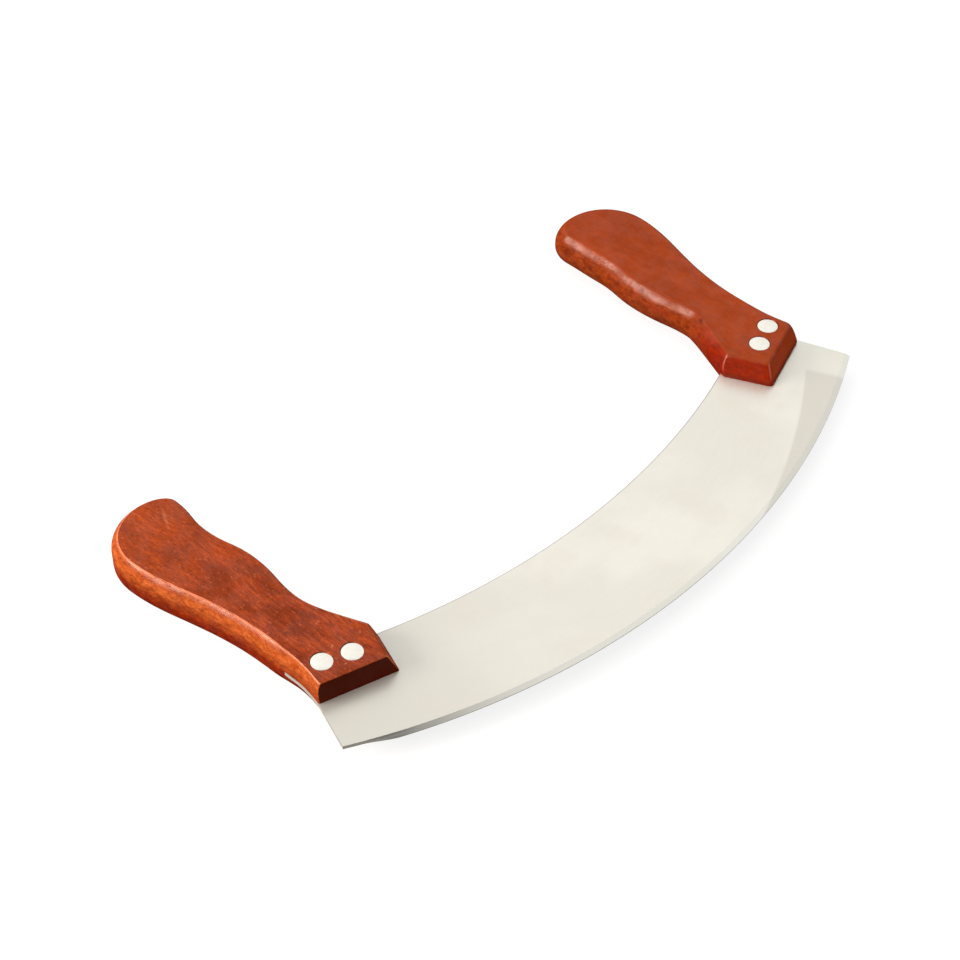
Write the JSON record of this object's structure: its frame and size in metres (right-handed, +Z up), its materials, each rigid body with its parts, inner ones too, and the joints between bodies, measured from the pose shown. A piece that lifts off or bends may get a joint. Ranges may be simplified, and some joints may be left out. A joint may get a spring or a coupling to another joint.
{
  "type": "pizza cutter",
  "caption": "Rocking pizza cutter: a curved steel band sharpened on its convex edge, with a shaped wooden handle riveted to each end, lying flat.",
  "frame": {"origin": "middle of the footprint, on the surface that the cutter lies on", "axes": "+X from the left handle to the right one, +Y from the cutting edge towards the round ends of the handles, +Z up, away from the surface"},
  "size_m": [0.2736, 0.1639, 0.0182],
  "materials": {
    "blade_steel": "satin",
    "handle_wood": "satin lacquer over a red-brown stain",
    "rivet_metal": "fine satin"
  },
  "bodies": {
    "root": {"blade": "blade_steel", "left_handle": "handle_wood", "right_handle": "handle_wood", "left_outer_rivet_post": "rivet_metal", "left_outer_rivet_sleeve": "rivet_metal", "left_inner_rivet_post": "rivet_metal", "left_inner_rivet_sleeve": "rivet_metal", "right_outer_rivet_post": "rivet_metal", "right_outer_rivet_sleeve": "rivet_metal", "right_inner_rivet_post": "rivet_metal", "right_inner_rivet_sleeve": "rivet_metal"}
  },
  "joints": []
}
